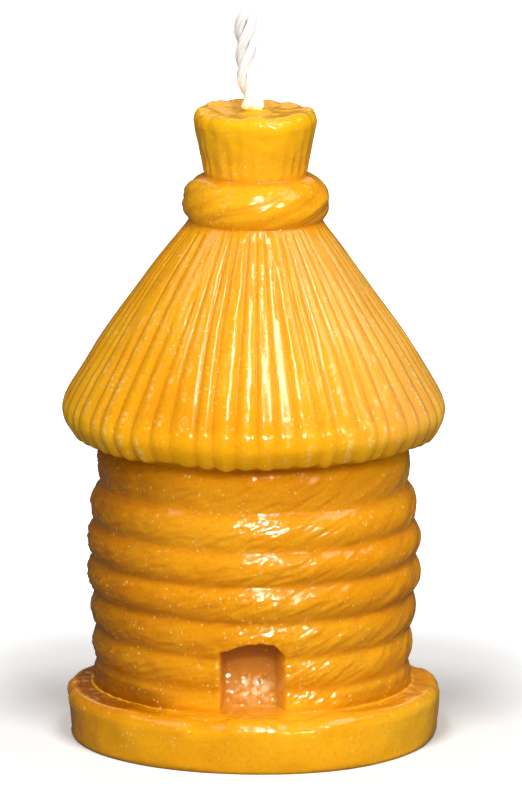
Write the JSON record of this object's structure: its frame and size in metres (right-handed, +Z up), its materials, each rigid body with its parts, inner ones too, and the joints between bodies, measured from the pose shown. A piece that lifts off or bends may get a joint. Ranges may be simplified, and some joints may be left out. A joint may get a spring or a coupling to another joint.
{
  "type": "candle",
  "caption": "Moulded beeswax candle in the shape of a straw skep beehive, with rope coils, a ribbed thatch roof, a doorway recess, a topknot and a cotton wick.",
  "frame": {"origin": "centre of the flat underside, on the candle's axis", "axes": "+Z up along the wick, -Y out of the doorway, +X to the right when the doorway is seen from the front"},
  "size_m": [0.0572, 0.0572, 0.1096],
  "materials": {
    "beeswax": "soft sheen, slightly translucent beeswax",
    "cotton": "matte, waxed at the foot"
  },
  "bodies": {
    "root": {"wax_body": "beeswax", "wick_strand_1": "cotton", "wick_strand_2": "cotton", "wick_strand_3": "cotton"}
  },
  "joints": []
}
